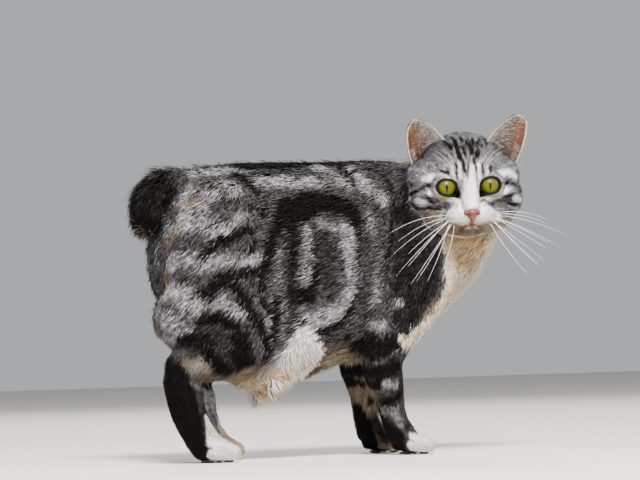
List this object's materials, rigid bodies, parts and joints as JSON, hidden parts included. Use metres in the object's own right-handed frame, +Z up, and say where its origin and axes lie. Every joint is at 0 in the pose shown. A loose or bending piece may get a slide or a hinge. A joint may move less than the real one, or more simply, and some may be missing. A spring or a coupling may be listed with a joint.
{
  "type": "japanese bobtail cat",
  "caption": "Short-tailed tabby and white cat that stands on four feet and turns its head to look to its right.",
  "frame": {"origin": "on the floor, under the middle of the bounding box", "axes": "+X along the trunk towards the chest, +Y to the cat's left, +Z up"},
  "size_m": [0.3704, 0.201, 0.3094],
  "materials": {
    "coat_silver": "short dense fur",
    "coat_dark": "short dense fur",
    "coat_white": "short dense fur",
    "nose_leather": "moist, fine grain",
    "ear_skin": "thin skin under sparse hair",
    "eye": "wet, clear"
  },
  "bodies": {
    "root": {"head": "coat_silver", "muzzle": "coat_white", "chin": "coat_white", "nose": "nose_leather", "ear_left": "ear_skin", "ear_right": "ear_skin", "eye_left": "eye", "eye_right": "eye", "neck": "coat_silver", "chest": "coat_silver", "belly": "coat_silver", "rump": "coat_silver", "tail": "coat_dark", "upper_arm_left": "coat_silver", "upper_arm_right": "coat_silver", "forearm_left": "coat_silver", "forearm_right": "coat_silver", "fore_paw_left": "coat_white", "fore_paw_right": "coat_white", "thigh_left": "coat_silver", "thigh_right": "coat_silver", "shank_left": "coat_silver", "shank_right": "coat_silver", "hock_left": "coat_dark", "hock_right": "coat_dark", "hind_paw_left": "coat_white", "hind_paw_right": "coat_white"}
  },
  "joints": []
}
